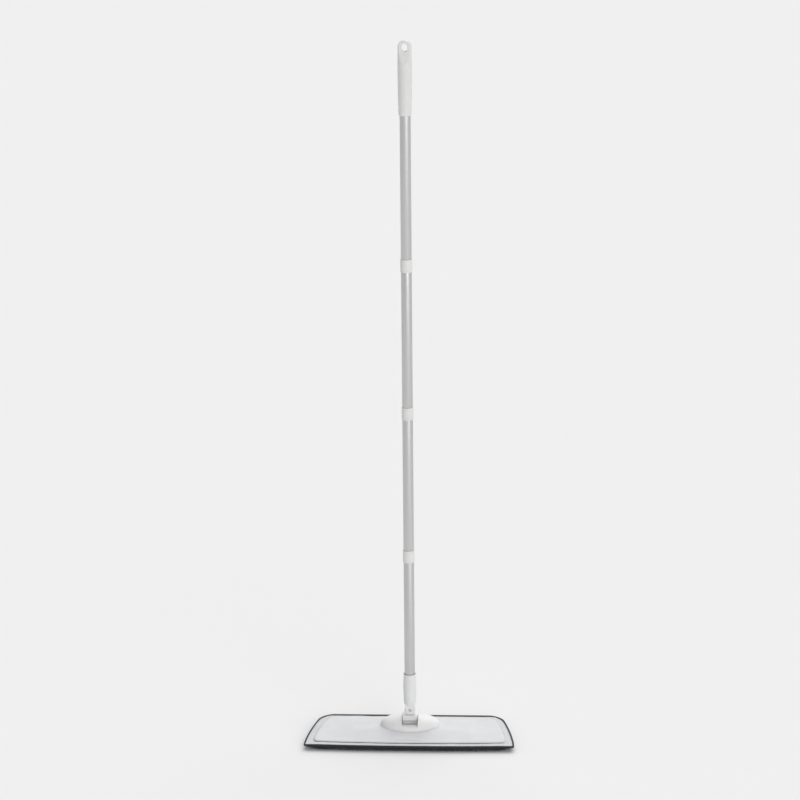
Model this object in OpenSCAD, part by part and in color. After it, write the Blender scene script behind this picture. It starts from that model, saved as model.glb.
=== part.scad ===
/* [Handle] */
// Outside diameter of the aluminium tubes
tube_d = 20; // [16:0.5:22]
// Wall of the tubes
tube_wall = 1; // [0.8:0.1:1.5]
// Bare tube that shows on the top section
top_tube_show = 266; // [150:1:350]
// Bare tube that shows on each middle section
mid_tube_show = 260; // [150:1:350]
// Bare tube that shows on the bottom section
low_tube_show = 230; // [120:1:350]

/* [Joint collars] */
// Height of a white collar
collar_h = 24; // [18:1:34]
// Wall of the collar outside the tube
collar_wall = 1.1; // [0.8:0.1:2]
// How far a collar reaches over the tube on each side
collar_reach = 3; // [2:0.5:5]
// Wall that a tube's stem leaves round the screw
stem_wall = 2; // [1.5:0.1:2.5]
// Length of the screw on a plug
plug_screw_h = 24; // [15:1:34]
// Length of a plug's stem inside its tube
plug_stem_h = 25; // [15:1:40]
// Distance between two ridges of the screw
screw_pitch = 4; // [3:0.5:6]

/* [Grip] */
// Height of the grip
grip_h = 135; // [110:1:180]
// Wall of the grip at its lower end
grip_wall = 2; // [1.5:0.1:3]
// Height of the solid top of the grip above its bore
grip_solid = 41; // [38:1:60]
// Swell of the grip's radius at its fullest height
grip_swell = 1; // [0:0.1:2]
// Thickness of the flat hanging end, front to back
loop_t = 14; // [10:1:20]
// Width of the hanging hole
hole_w = 10.7; // [8:0.1:13]
// Height of the hanging hole
hole_h = 15; // [13:0.5:20]

/* [Neck] */
// Height of the pitch axis above the plate's spine
pitch_rise = 12; // [11:0.5:16]
// Distance from the pitch axis up to the roll axis
roll_rise = 20.5; // [20:0.5:26]
// Height of the socket above the roll axis
socket_h = 74; // [60:1:90]
// Depth of the tube in the socket
socket_depth = 43; // [30:1:48]
// Wall of the socket at its rim
socket_wall = 1.35; // [1.2:0.05:3]
// Play between the tube and the socket's mouth
mouth_gap = 0.5; // [0.3:0.1:1]
// Radius of the rounded ears
ear_r = 9; // [8:0.5:10]
// Half of the neck's depth over the two ears
ear_out = 9; // [8:0.5:9.5]
// Thickness of the tongue between the ears
tongue_t = 8; // [6:0.5:9]
// Radius of the tongue's rounded top
tongue_r = 10.4; // [8.5:0.1:10.4]
// Diameter of the two hinge pins
pin_d = 6; // [4:0.5:7]
// Width of the cross block
block_w = 29; // [24:0.5:36]
// Radius of the cross block's barrel
block_r = 9; // [8:0.5:9.5]
// Height of the cross block above the pitch axis
block_rise = 9.5; // [9:0.5:9.5]
// Thickness of a friction washer
washer_t = 0.6; // [0.4:0.1:1]

/* [Pivot housing] */
// Width of the housing
housing_w = 114; // [100:1:130]
// Depth of the housing, front to back
housing_d = 60; // [54:1:66]
// Height of the housing's crest above the plate's spine
housing_rise = 17.5; // [15.5:0.5:17.5]
// Wall of the housing
housing_wall = 2.4; // [2:0.1:3]
// Height of the channel's floor above the plate's spine, in front of and behind the cross block
channel_rise = 5; // [3.5:0.5:5]

/* [Base plate] */
// Width of the plate at the front
plate_w = 369; // [300:1:380]
// Depth of the plate
plate_d = 117; // [110:1:125]
// How much narrower each side of the plate is at the back
plate_taper = 25; // [10:1:30]
// Thickness of the plate's edge
edge_t = 2.5; // [2:0.1:4]
// Height of the spine above the plate's edge, at the middle
spine_rise = 11; // [8:0.5:12]
// Half of the spine's flat width
spine_half = 20; // [16:1:26]
// Half of the spine's length
spine_reach = 151; // [120:1:160]
// Wall of the plate over its hollow underside
plate_wall = 2.4; // [2:0.1:3]
// Width of a hook strip
hook_w = 18; // [12:1:24]
// Length of a hook strip
hook_l = 290; // [200:1:300]
// Thickness of a hook strip
hook_t = 1; // [0.8:0.1:1.5]

/* [Cleaning pad] */
// Width of the pad at the front
pad_w = 405; // [385:1:450]
// Depth of the pad at the middle
pad_d = 146; // [135:1:170]
// How much narrower each side of the pad is at the back
pad_taper = 26; // [10:1:30]
// How far the front edge bows out at the middle
pad_bow = 5; // [0:1:8]
// Length of the pile under the pad
pile_h = 4; // [3:0.5:8]
// Thickness of the felt core
core_h = 5.5; // [3:0.5:8]
// Thickness of the looped backing
backing_h = 1.5; // [1:0.5:3]
// Width of the edge binding
binding_w = 3.5; // [2.5:0.5:6]

/* [Hidden] */
$fn = 64;
eps = 0.01;

// Clearances: a pressed seat, a running pin, and free space between moving pieces
seat_gap = 0.02;
run_gap = 0.05;
free_gap = 0.3;
joint_count = 3;

// Radii that follow the tube
tube_r = tube_d / 2;
tube_bore_r = tube_r - tube_wall;
stem_r = tube_bore_r - seat_gap;
collar_r = tube_r + collar_wall;
screw_r = stem_r - stem_wall;
screw_bore_r = screw_r + free_gap;
screw_end_room = 3;
ridge_h = 0.6;
ridge_foot = 1;
ridge_tip = 0.3;
grip_r = tube_r + grip_wall;
grip_end_r = grip_r + 0.4;
flange_step = 0.4;
flange_r = tube_r - flange_step;
flange_h = 1.5;
edge_chamfer = 0.6;

// Heights from the floor up
core_z = pile_h;
backing_z = core_z + core_h;
hook_z = backing_z + backing_h;
plate_z = hook_z + hook_t;
edge_z = plate_z + edge_t;
spine_z = edge_z + spine_rise;
pocket_depth = 5.5;
housing_seat_z = spine_z - pocket_depth;
mound_z = spine_z - 0.5;
housing_top = spine_z + housing_rise;
channel_z = spine_z + channel_rise;
pitch_z = spine_z + pitch_rise;
roll_z = pitch_z + roll_rise;
rim_z = roll_z + socket_h;
foot_z = rim_z - socket_depth;
joint_z = [
  rim_z + low_tube_show + 2 * mid_tube_show + 2 * collar_h,
  rim_z + low_tube_show + mid_tube_show + collar_h,
  rim_z + low_tube_show
];
grip_z = joint_z[0] + collar_h + top_tube_show;
top_z = grip_z + grip_h;
loop_z = top_z - grip_end_r;
grip_bore_h = grip_h - grip_solid;
grip_band_h = 17;
grip_end_step = 0.5;
swell_start = 0.45;
swell_full = 0.62;
swell_end = 0.72;
grip_upper = 0.82;
shoulder_drop = 14;
thin_start = 34;
thin_end = 8;
tip_round = 2;

// Neck
pin_r = pin_d / 2;
slot_half = tongue_t / 2 + free_gap;
slot_root_gap = 0.7;
ear_round = 2.4;
slot_root_z = roll_z + tongue_r + slot_root_gap;
foot_screw_h = 11;
belly_step = 0.75;
waist_step = 0.15;
cup_root = 6;
waist_low = 16;
waist_high = 24;
belly_drop = 28;
belly_h = 6;
rim_h = 4;
rim_round = 0.4;

// Pivot housing
washer_gap = 0.4;
cheek_x = block_w / 2 + washer_t + washer_gap;
cheek_t = 5;
slot_y = sqrt(pow(block_r, 2) + pow(block_rise, 2)) + 2 * free_gap;
mound_power = 2.7;
screw_x = housing_w / 3;
screw_y = housing_d / 4;
screw_shank_r = 1.75;
screw_head_r = 3.5;
screw_head_h = 2;
boss_r = 4;
boss_wall = 1.5;
washer_rim = 3;
fin_count = 3;
fin_gap = 40;
fin_t = 1.8;
solid_end = 20;
hollow_foot = 6;
solid_margin = 3;
post_lap = 2;
driver_slot = [4, 0.8, 2];
housing_gap = 0.2;

// Outlines
side_power = 1.6;
front_round = 8;
back_round = 24;
plate_front_round = 10;
plate_back_round = 14;
hook_y = (spine_half + plate_d / 2) / 2 - 1;

// ---------- helpers ----------

// A bar turned about the z axis from its outline of [radius, height] points
module turned(points) {
  rotate_extrude() polygon(points);
}

// A closed ring with small chamfers, from the inner to the outer radius
module ring(inner, outer, h, chamfer) {
  turned([
    [inner, 0], [outer - chamfer, 0], [outer, chamfer],
    [outer, h - chamfer], [outer - chamfer, h], [inner, h]
  ]);
}

// A male screw stood in for by ridges round a core
module ridged_screw(length) {
  core_r = screw_r - ridge_h;
  cylinder(r = core_r, h = length);
  for (z = [screw_pitch / 2 : screw_pitch : length - screw_pitch / 2])
    translate([0, 0, z])
      turned([
        [0, -ridge_foot], [core_r - 0.1, -ridge_foot], [screw_r, -ridge_tip],
        [screw_r, ridge_tip], [core_r - 0.1, ridge_foot], [0, ridge_foot]
      ]);
}

// Half of the head's width at a share t of its depth, from front to back
function side_half(w, taper, t) = w / 2 - taper * pow(t, side_power);

// The sharp-cornered outline of the head: a bowed front and sides that draw in
function head_outline(w, d, taper, bow) = concat(
  [for (i = [-6 : 6]) [i / 6 * w / 2, -d / 2 + bow * pow(i / 6, 2)]],
  [for (i = [1 : 10]) [side_half(w, taper, i / 10), -d / 2 + bow + (d - bow) * i / 10]],
  [for (i = [10 : -1 : 1]) [-side_half(w, taper, i / 10), -d / 2 + bow + (d - bow) * i / 10]]
);

// The outline with one radius at the front corners and another at the back
module head_shape(w, d, taper, bow, front_r, back_r) {
  for (part = [[-1, front_r], [1, back_r]])
    intersection() {
      offset(r = part[1]) offset(delta = -part[1]) polygon(head_outline(w, d, taper, bow));
      translate([-w, part[0] < 0 ? -d : -eps]) square([2 * w, d + eps]);
    }
}

module pad_shape(inset) {
  offset(delta = -inset) head_shape(pad_w, pad_d, pad_taper, pad_bow, front_round, back_round);
}

// Height of the spine over the plate's edge at a place along it
function spine_at(x) = spine_rise * (1 - pow(x / spine_reach, 2));

// The swelling on top of the plate: a flat spine that sinks towards both ends, with sloped flanks
module crown(reach, half, foot, drop) {
  steps = 24;
  points = [
    for (i = [0 : steps]) let (x = reach * (2 * i / steps - 1), top = edge_z + spine_at(x) - drop)
      each [
        [x, -foot, plate_z - drop], [x, -foot, min(edge_z - eps, top)], [x, -half, top],
        [x, half, top], [x, foot, min(edge_z - eps, top)], [x, foot, plate_z - drop]
      ]
  ];
  sides = [
    for (i = [0 : steps - 1], k = [0 : 5])
      [6 * i + k, 6 * i + (k + 1) % 6, 6 * (i + 1) + (k + 1) % 6, 6 * (i + 1) + k]
  ];
  polyhedron(
    points,
    concat([[5, 4, 3, 2, 1, 0]], [[for (k = [0 : 5]) 6 * steps + k]], sides),
    convexity = 4
  );
}

// The housing's outer or inner shape: an upright foot and a rounded crest
module mound(inset, steps, sides) {
  half_w = housing_w / 2 - inset;
  half_d = housing_d / 2 - inset;
  rise = housing_top - mound_z - inset;
  hull() {
    translate([0, 0, housing_seat_z]) scale([half_w, half_d, 1]) cylinder(r = 1, h = eps, $fn = sides);
    for (i = [0 : steps])
      let (angle = 86 * i / steps, share = pow(cos(angle), 2 / mound_power))
        translate([0, 0, mound_z + rise * pow(sin(angle), 2 / mound_power)])
          scale([half_w * share, half_d * share, 1]) cylinder(r = 1, h = eps, $fn = sides);
  }
}

module at_screws() {
  for (x = [-screw_x, screw_x], y = [-screw_y, screw_y]) translate([x, y, 0]) children();
}

// ---------- handle ----------

// The lowest point of tube n, counted from the top
function tube_low(n) = n == joint_count ? foot_z + flange_h : joint_z[n] + collar_h - collar_reach;
// The highest point of tube n
function tube_high(n) = n == 0 ? grip_z + grip_bore_h : joint_z[n - 1] + collar_reach - 1;

module tube(n) {
  color("silver")
    translate([0, 0, tube_low(n)])
      difference() {
        cylinder(r = tube_r, h = tube_high(n) - tube_low(n));
        translate([0, 0, -1]) cylinder(r = tube_bore_r, h = tube_high(n) - tube_low(n) + 2);
      }
}

// A collar is pressed on the tube above it and screws down on the plug of the tube below it
module joint_collar(n) {
  color("white")
    translate([0, 0, joint_z[n]])
      difference() {
        union() {
          ring(0, collar_r, collar_h, edge_chamfer);
          cylinder(r = stem_r, h = collar_h + plug_stem_h - collar_reach);
        }
        translate([0, 0, -1]) cylinder(r = tube_r + free_gap, h = collar_reach + flange_h + free_gap);
        translate([0, 0, -1]) cylinder(r = screw_bore_r, h = collar_reach + plug_screw_h + screw_end_room);
        translate([0, 0, collar_h - collar_reach])
          difference() {
            cylinder(r = tube_r + seat_gap, h = collar_reach + 1);
            translate([0, 0, -1]) cylinder(r = stem_r, h = collar_reach + 3);
          }
      }
}

// A plug is pressed in the top of tube n + 1 and carries the screw
module thread_plug(n) {
  color("gainsboro")
    translate([0, 0, tube_high(n + 1)]) {
      translate([0, 0, -plug_stem_h]) cylinder(r = stem_r, h = plug_stem_h + eps);
      cylinder(r = flange_r, h = flange_h);
      translate([0, 0, flange_h - eps]) ridged_screw(plug_screw_h);
    }
}

module foot_plug() {
  color("gainsboro")
    translate([0, 0, foot_z]) {
      cylinder(r = stem_r, h = flange_h + plug_stem_h);
      cylinder(r = flange_r, h = flange_h);
      translate([0, 0, eps]) mirror([0, 0, 1]) ridged_screw(foot_screw_h);
    }
}

// ---------- grip ----------

// The grip seen from the front: a round top end above straight sides
module grip_front() {
  wide = grip_r + grip_swell + 1;
  shoulder_z = loop_z - shoulder_drop;
  rotate([90, 0, 0])
    linear_extrude(height = 3 * grip_r, center = true) {
      translate([-wide, grip_z]) square([2 * wide, shoulder_z - grip_z]);
      polygon([
        [-wide, shoulder_z - eps], [wide, shoulder_z - eps], [grip_end_r, loop_z],
        [-grip_end_r, loop_z]
      ]);
      translate([0, loop_z]) circle(r = grip_end_r);
    }
}

// The grip seen from the side: it thins towards the flat hanging end
module grip_side() {
  wide = grip_r + grip_swell + 1;
  thin = loop_t / 2;
  neck_z = loop_z - thin_start;
  flat_z = loop_z - thin_end;
  rotate([90, 0, 90])
    linear_extrude(height = 3 * grip_r, center = true)
      polygon([
        [-wide, grip_z], [wide, grip_z], [wide, neck_z], [thin + grip_end_step, flat_z],
        [thin, loop_z], [thin, top_z - tip_round], [thin - tip_round, top_z],
        [tip_round - thin, top_z], [-thin, top_z - tip_round], [-thin, loop_z],
        [-thin - grip_end_step, flat_z], [-wide, neck_z]
      ]);
}

module grip() {
  full_r = grip_r + grip_swell;
  slot_half_h = (hole_h - hole_w) / 2;
  color("whitesmoke")
    difference() {
      intersection() {
        translate([0, 0, grip_z])
          turned([
            [0, 0], [grip_r - edge_chamfer, 0], [grip_r, edge_chamfer], [grip_r, grip_band_h],
            [grip_end_r, grip_band_h + 1], [full_r - 0.2, grip_h * swell_start],
            [full_r, grip_h * swell_full], [full_r - 0.1, grip_h * swell_end],
            [grip_r + grip_end_step, grip_h * grip_upper], [grip_r + grip_end_step, grip_h], [0, grip_h]
          ]);
        grip_front();
        grip_side();
      }
      translate([0, 0, grip_z - 1]) cylinder(r = tube_r + seat_gap, h = grip_bore_h + 1);
      for (z = [-slot_half_h, slot_half_h])
        translate([0, 0, loop_z + z])
          rotate([90, 0, 0]) cylinder(r = hole_w / 2, h = 2 * grip_r, center = true);
      translate([0, 0, loop_z]) cube([hole_w, 2 * grip_r, 2 * slot_half_h], center = true);
    }
}

// ---------- neck ----------

module neck_socket() {
  rim_r = tube_r + mouth_gap + socket_wall;
  belly_r = rim_r + belly_step;
  waist_r = rim_r + waist_step;
  color("white")
    difference() {
      union() {
        translate([0, 0, roll_z])
          turned([
            [0, cup_root], [ear_r + 0.5, cup_root], [waist_r, waist_low], [waist_r, waist_high],
            [belly_r, socket_h - belly_drop], [belly_r, socket_h - belly_drop + belly_h],
            [rim_r, socket_h - rim_h], [rim_r, socket_h - rim_round],
            [rim_r - rim_round, socket_h], [0, socket_h]
          ]);
        intersection() {
          union() {
            translate([0, 0, roll_z]) rotate([90, 0, 0]) cylinder(r = ear_r, h = 2 * ear_out, center = true);
            translate([-ear_r, -ear_out, roll_z]) cube([2 * ear_r, 2 * ear_out, cup_root + 3]);
          }
          translate([0, 0, roll_z - ear_r - 1]) cylinder(r = ear_r + ear_round, h = 3 * ear_r);
        }
      }
      translate([-2 * ear_r, -slot_half, roll_z - 2 * ear_r])
        cube([4 * ear_r, 2 * slot_half, slot_root_z - roll_z + 2 * ear_r]);
      translate([0, 0, roll_z]) rotate([90, 0, 0])
        cylinder(r = pin_r + seat_gap, h = 4 * ear_out, center = true);
      translate([0, 0, foot_z]) cylinder(r = tube_r + mouth_gap, h = socket_depth + 1);
      translate([0, 0, foot_z - foot_screw_h - 0.5]) cylinder(r = screw_bore_r, h = foot_screw_h + 1);
    }
}

module roll_pin() {
  color("dimgray")
    translate([0, 0, roll_z]) rotate([90, 0, 0])
      cylinder(r = pin_r, h = 2 * ear_out - 1, center = true);
}

// A round barrel with a squared top, and a tongue that stands up between the ears
module cross_block() {
  color("white")
    difference() {
      union() {
        translate([0, 0, pitch_z]) rotate([0, 90, 0]) cylinder(r = block_r, h = block_w, center = true);
        translate([-block_w / 2, -block_r, pitch_z]) cube([block_w, 2 * block_r, block_rise - 1]);
        translate([-block_w / 2 + 1, -block_r + 1, pitch_z]) cube([block_w - 2, 2 * block_r - 2, block_rise]);
        translate([0, 0, roll_z]) rotate([90, 0, 0]) cylinder(r = tongue_r, h = tongue_t, center = true);
        translate([-tongue_r, -tongue_t / 2, pitch_z]) cube([2 * tongue_r, tongue_t, roll_rise]);
      }
      translate([0, 0, roll_z]) rotate([90, 0, 0])
        cylinder(r = pin_r + run_gap, h = 2 * tongue_t, center = true);
      translate([0, 0, pitch_z]) rotate([0, 90, 0])
        cylinder(r = pin_r + run_gap, h = 2 * block_w, center = true);
    }
}

module pitch_pin() {
  color("dimgray")
    translate([0, 0, pitch_z]) rotate([0, 90, 0])
      cylinder(r = pin_r, h = 2 * (cheek_x + cheek_t), center = true);
}

module friction_washers() {
  color("tan")
    for (side = [-1, 1])
      translate([side * (cheek_x - 0.1 - washer_t / 2), 0, pitch_z]) rotate([0, 90, 0])
        difference() {
          cylinder(r = pin_r + washer_rim, h = washer_t, center = true);
          cylinder(r = pin_r + run_gap, h = 2 * washer_t, center = true);
        }
}

// ---------- head ----------

// The hollow on one side of the housing, between its cheek and its outer wall
module side_hollow(side) {
  inner_x = cheek_x + cheek_t;
  difference() {
    intersection() {
      translate([0, 0, -1]) mound(housing_wall, 4, 24);
      translate([side > 0 ? inner_x : -housing_w, -housing_d, 0])
        cube([housing_w - inner_x, 2 * housing_d, 2 * pitch_z]);
    }
    at_screws() cylinder(r = boss_r, h = 2 * pitch_z);
  }
}

// A rounded shell with two inner cheeks that hold the pitch pin from above
module pivot_housing() {
  color("white")
    difference() {
      mound(0, 6, 40);
      side_hollow(-1);
      side_hollow(1);
      translate([-cheek_x, -slot_y, 0]) cube([2 * cheek_x, 2 * slot_y, 2 * pitch_z]);
      translate([-cheek_x, -housing_d, channel_z]) cube([2 * cheek_x, 2 * housing_d, pitch_z]);
      translate([0, 0, pitch_z]) rotate([0, 90, 0])
        cylinder(r = pin_r + seat_gap, h = 2 * (cheek_x + cheek_t), center = true);
      translate([-cheek_x - cheek_t, -pin_r - seat_gap, 0])
        cube([2 * (cheek_x + cheek_t), 2 * (pin_r + seat_gap), pitch_z]);
      at_screws() cylinder(r = screw_shank_r + seat_gap, h = housing_seat_z + 9);
    }
}

// A thin plate, stiffened by its hollow spine, with two posts that hold the pitch pin from below
module base_plate() {
  pocket_z = housing_seat_z;
  color("whitesmoke")
    difference() {
      union() {
        difference() {
          union() {
            translate([0, 0, plate_z])
              linear_extrude(height = edge_t)
                head_shape(plate_w, plate_d, plate_taper, pad_bow, plate_front_round, plate_back_round);
            crown(spine_reach, spine_half, plate_d / 2 - pad_bow - 1, 0);
          }
          translate([0, 0, pocket_z])
            scale([housing_w / 2 + housing_gap, housing_d / 2 + housing_gap, 1]) cylinder(r = 1, h = 20);
          difference() {
            crown(spine_reach - solid_end, spine_half - plate_wall, spine_half + hollow_foot, plate_wall);
            for (x = [-fin_count : fin_count])
              translate([x * fin_gap - fin_t / 2, -plate_d / 2, 0]) cube([fin_t, plate_d, 3 * edge_z]);
            translate([-housing_w / 2 - solid_margin, -plate_d / 2, pocket_z - plate_wall])
              cube([housing_w + 2 * solid_margin, plate_d, 3 * edge_z]);
            at_screws() cylinder(r = boss_r + boss_wall, h = pocket_z);
          }
        }
        for (side = [-1, 1])
          translate([side * (cheek_x + cheek_t / 2), 0, (pitch_z + pocket_z - post_lap) / 2])
            cube([cheek_t, 2 * pin_r, pitch_z - pocket_z + post_lap], center = true);
      }
      translate([0, 0, pitch_z]) rotate([0, 90, 0])
        cylinder(r = pin_r + seat_gap, h = housing_w, center = true);
      at_screws() {
        cylinder(r = screw_shank_r + 0.2, h = 2 * pocket_z);
        cylinder(r = screw_head_r + 0.3, h = plate_z + screw_head_h + 0.5);
      }
    }
}

module housing_screws() {
  color("gray")
    at_screws()
      translate([0, 0, plate_z + 0.5]) {
        difference() {
          cylinder(r = screw_head_r, h = screw_head_h);
          for (turn = [0, 90])
            rotate(turn) cube(driver_slot, center = true);
        }
        cylinder(r = screw_shank_r, h = housing_seat_z - plate_z + 7);
      }
}

module hook_strip(side) {
  color("lightgray")
    translate([-hook_l / 2, side * hook_y - hook_w / 2, hook_z]) cube([hook_l, hook_w, hook_t]);
}

// ---------- cleaning pad ----------

module pad_backing() {
  color("gainsboro") translate([0, 0, backing_z]) linear_extrude(height = backing_h) pad_shape(binding_w);
}

module pad_core() {
  color("beige") translate([0, 0, core_z]) linear_extrude(height = core_h) pad_shape(binding_w);
}

module pad_pile() {
  color("darkslategray") linear_extrude(height = pile_h) pad_shape(0.5);
}

module pad_binding() {
  color("black")
    translate([0, 0, core_z])
      linear_extrude(height = core_h + backing_h + 0.5)
        difference() {
          pad_shape(0);
          pad_shape(binding_w);
        }
}

grip();
tube(0);  // tube_1
tube(1);  // tube_2
tube(2);  // tube_3
tube(3);  // tube_4
joint_collar(0);  // joint_collar_1
joint_collar(1);  // joint_collar_2
joint_collar(2);  // joint_collar_3
thread_plug(0);  // thread_plug_1
thread_plug(1);  // thread_plug_2
thread_plug(2);  // thread_plug_3
foot_plug();
neck_socket();
roll_pin();
cross_block();
pitch_pin();
friction_washers();
pivot_housing();
base_plate();
housing_screws();
hook_strip(-1);  // hook_strip_front
hook_strip(1);  // hook_strip_back
pad_backing();
pad_core();
pad_pile();
pad_binding();
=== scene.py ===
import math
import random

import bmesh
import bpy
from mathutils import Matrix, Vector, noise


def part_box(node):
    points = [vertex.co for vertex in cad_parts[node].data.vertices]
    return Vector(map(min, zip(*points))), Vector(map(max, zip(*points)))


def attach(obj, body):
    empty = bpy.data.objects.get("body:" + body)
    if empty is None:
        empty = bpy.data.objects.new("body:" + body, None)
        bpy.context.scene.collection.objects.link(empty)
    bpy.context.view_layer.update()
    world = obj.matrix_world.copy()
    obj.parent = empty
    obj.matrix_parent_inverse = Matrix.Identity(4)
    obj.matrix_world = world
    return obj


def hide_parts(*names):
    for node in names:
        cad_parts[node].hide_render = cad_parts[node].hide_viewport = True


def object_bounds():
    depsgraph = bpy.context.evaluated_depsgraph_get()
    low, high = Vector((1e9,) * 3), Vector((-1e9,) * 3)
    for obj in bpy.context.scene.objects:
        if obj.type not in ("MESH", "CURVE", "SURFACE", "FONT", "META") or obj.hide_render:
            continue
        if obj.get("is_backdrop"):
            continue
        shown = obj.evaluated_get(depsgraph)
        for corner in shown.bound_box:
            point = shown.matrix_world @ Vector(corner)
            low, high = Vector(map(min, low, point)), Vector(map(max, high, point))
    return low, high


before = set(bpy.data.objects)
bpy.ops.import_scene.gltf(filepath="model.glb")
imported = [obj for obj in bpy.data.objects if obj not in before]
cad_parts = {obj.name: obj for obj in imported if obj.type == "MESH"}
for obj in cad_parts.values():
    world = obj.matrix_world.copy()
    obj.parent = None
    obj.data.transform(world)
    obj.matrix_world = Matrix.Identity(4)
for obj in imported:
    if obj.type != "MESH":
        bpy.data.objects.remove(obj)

# %% [markdown]
# # A flat mop, piece by piece
# This mop is a light pole of four aluminium tubes over a swivelling neck and a wide flat head.
# A soft dark pad hangs under the head by hook strips.
# The exact frame of every piece is already loaded, so each piece is dressed where its frame piece stands.
# All shapes are measured in millimetres here. They become metres only when a mesh is finished.

MM = 0.001
scene = bpy.context.scene
frame_low, frame_high = [list(corner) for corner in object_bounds()]
random.seed(7)
print("frame box in metres", frame_low, frame_high)


def span(node):
    """The lowest and highest corner of a frame piece, in millimetres."""
    low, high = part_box(node)
    return Vector(low) / MM, Vector(high) / MM


# %% [markdown]
# ## Floor, light and camera
# A product like this is photographed on a pale seamless floor.
# One very wide soft light stands behind and above, so the fronts are a little darker than the tops.
# It also draws the soft dark edge on the floor in front of the pad. A weaker light, low in front, lifts the
# fronts again, and a pale even sky fills the rest.
# The camera stands well back with a long lens, because a tall thin object bends in a short one.

# %% Floor
FLOOR_REACH = 60


def pale_floor():
    """A wide flat floor just under the mop."""
    sheet = bmesh.new()
    bmesh.ops.create_grid(sheet, x_segments=1, y_segments=1, size=FLOOR_REACH)
    bmesh.ops.translate(sheet, verts=sheet.verts, vec=(0, 0, -0.0002))
    mesh = bpy.data.meshes.new("floor")
    sheet.to_mesh(mesh)
    sheet.free()
    floor = bpy.data.objects.new("floor", mesh)
    scene.collection.objects.link(floor)
    paint = bpy.data.materials.new("seamless_paper")
    paint.use_nodes = True
    shader = paint.node_tree.nodes["Principled BSDF"]
    shader.inputs["Base Color"].default_value = (0.81, 0.81, 0.81, 1)
    shader.inputs["Roughness"].default_value = 1.0
    shader.inputs["Specular IOR Level"].default_value = 0.0
    mesh.materials.append(paint)
    floor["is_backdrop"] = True
    return floor


pale_floor()

# %% Light
SKY_LEVEL = 0.41
LIGHTS = {
    "soft_light_behind": {"level": 2.25, "spread": 70, "height": 52, "turn": -14, "from_front": False},
    "soft_light_in_front": {"level": 1.6, "spread": 46, "height": 10, "turn": 30, "from_front": True},
}

world = bpy.data.worlds.new("pale_sky")
world.use_nodes = True
world.node_tree.nodes["Background"].inputs["Color"].default_value = (1, 1, 1, 1)
world.node_tree.nodes["Background"].inputs["Strength"].default_value = SKY_LEVEL
scene.world = world
scene.view_settings.view_transform = "Standard"

for name, setting in LIGHTS.items():
    light = bpy.data.objects.new(name, bpy.data.lights.new(name, "SUN"))
    light.data.energy = setting["level"]
    light.data.angle = math.radians(setting["spread"])
    tip = math.radians(90 - setting["height"]) * (1 if setting["from_front"] else -1)
    light.rotation_euler = (tip, 0, math.radians(setting["turn"]))
    scene.collection.objects.link(light)
print("sky", SKY_LEVEL, "lights", list(LIGHTS))

# %% Camera
CAMERA_PLACE = (0.210, -4.503, 2.103)
CAMERA_DOWN = 17.484
CAMERA_TURN = 1.81
CAMERA_ROLL = 0.22

camera = bpy.data.objects.new("camera", bpy.data.cameras.new("camera"))
camera.location = CAMERA_PLACE
turn = Matrix.Rotation(math.radians(CAMERA_TURN), 3, "Z")
tilt = Matrix.Rotation(math.radians(90 - CAMERA_DOWN), 3, "X")
lean = Matrix.Rotation(math.radians(-CAMERA_ROLL), 3, "Z")
camera.rotation_euler = (turn @ tilt @ lean).to_euler()
camera.data.sensor_width = 36
camera.data.lens = 114.3
camera.data.shift_x = -0.0548
scene.collection.objects.link(camera)
scene.camera = camera
print("camera", CAMERA_PLACE, "lens", camera.data.lens)

# %% [markdown]
# ## Surface effects that several finishes share
# Real surfaces are never one flat colour. Moulded plastic has a fine grain and a faint mottle.
# Drawn aluminium has long streaks. Cloth has its weave and its nap.
# Each effect is built once as a node group and then placed in each finish with its own values.
# All of them read Object coordinates, because a finished piece has its place in its mesh.

# %% Node helpers


def add(tree, kind, values=None, **settings):
    """Adds a node, sets its settings and the values of its sockets."""
    node = tree.nodes.new(kind)
    for name, value in settings.items():
        setattr(node, name, value)
    for name, value in (values or {}).items():
        node.inputs[name].default_value = value
    return node


def wire(tree, *links):
    """Joins sockets, given as (from, to)."""
    for start, end in links:
        tree.links.new(start, end)


def effect(name, inputs, outputs):
    """A new node group with named inputs and outputs."""
    tree = bpy.data.node_groups.new(name, "ShaderNodeTree")
    for label, value in inputs.items():
        socket = tree.interface.new_socket(label, in_out="INPUT", socket_type="NodeSocketFloat")
        socket.default_value = value
    for label in outputs:
        tree.interface.new_socket(label, in_out="OUTPUT", socket_type="NodeSocketFloat")
    return tree, tree.nodes.new("NodeGroupInput"), tree.nodes.new("NodeGroupOutput")


def maths(tree, operation, first, second):
    """A maths node on two sockets or numbers."""
    node = add(tree, "ShaderNodeMath", operation=operation)
    for place, value in enumerate((first, second)):
        if isinstance(value, (int, float)):
            node.inputs[place].default_value = value
        else:
            tree.links.new(value, node.inputs[place])
    return node.outputs["Value"]


def axes_of(tree, output):
    """The X, Y and Z of the piece's own place or normal, as sockets."""
    place = add(tree, "ShaderNodeTexCoord")
    parts = add(tree, "ShaderNodeSeparateXYZ")
    wire(tree, (place.outputs[output], parts.inputs["Vector"]))
    return parts.outputs


def noise_at(tree, scale, detail=3.0, rough=0.5, stretch=(1, 1, 1)):
    """Noise on Object coordinates, stretched along an axis by a small number."""
    place = add(tree, "ShaderNodeTexCoord")
    turn = add(tree, "ShaderNodeMapping", {"Scale": stretch})
    cloud = add(tree, "ShaderNodeTexNoise", {"Detail": detail, "Roughness": rough})
    wire(tree, (place.outputs["Object"], turn.inputs["Vector"]))
    wire(tree, (turn.outputs["Vector"], cloud.inputs["Vector"]))
    if isinstance(scale, (int, float)):
        cloud.inputs["Scale"].default_value = scale
    else:
        tree.links.new(scale, cloud.inputs["Scale"])
    return cloud.outputs["Fac"]


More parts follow.
